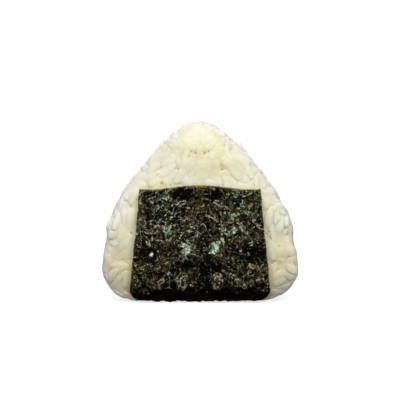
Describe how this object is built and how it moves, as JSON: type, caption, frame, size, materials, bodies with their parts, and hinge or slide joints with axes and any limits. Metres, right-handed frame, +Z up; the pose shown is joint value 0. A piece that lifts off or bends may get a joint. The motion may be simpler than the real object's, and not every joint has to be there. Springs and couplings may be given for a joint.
{
  "type": "onigiri",
  "caption": "Rice ball pressed into a rounded triangle that stands on its flat base, with a strip of nori folded round the base and up both faces.",
  "frame": {"origin": "middle of the flat base, on the surface that the onigiri stands on", "axes": "+Z up to the rounded tip, +X to the right seen from the front, -Y out of the front face that the picture shows"},
  "size_m": [0.0815, 0.0337, 0.0741],
  "materials": {
    "cooked_rice": "moist cooked short-grain rice, cream white with a soft sheen",
    "nori_sheet": "damp roasted seaweed sheet, near black green, crinkled and glossy"
  },
  "bodies": {
    "root": {"rice": "cooked_rice", "nori": "nori_sheet"}
  },
  "joints": []
}
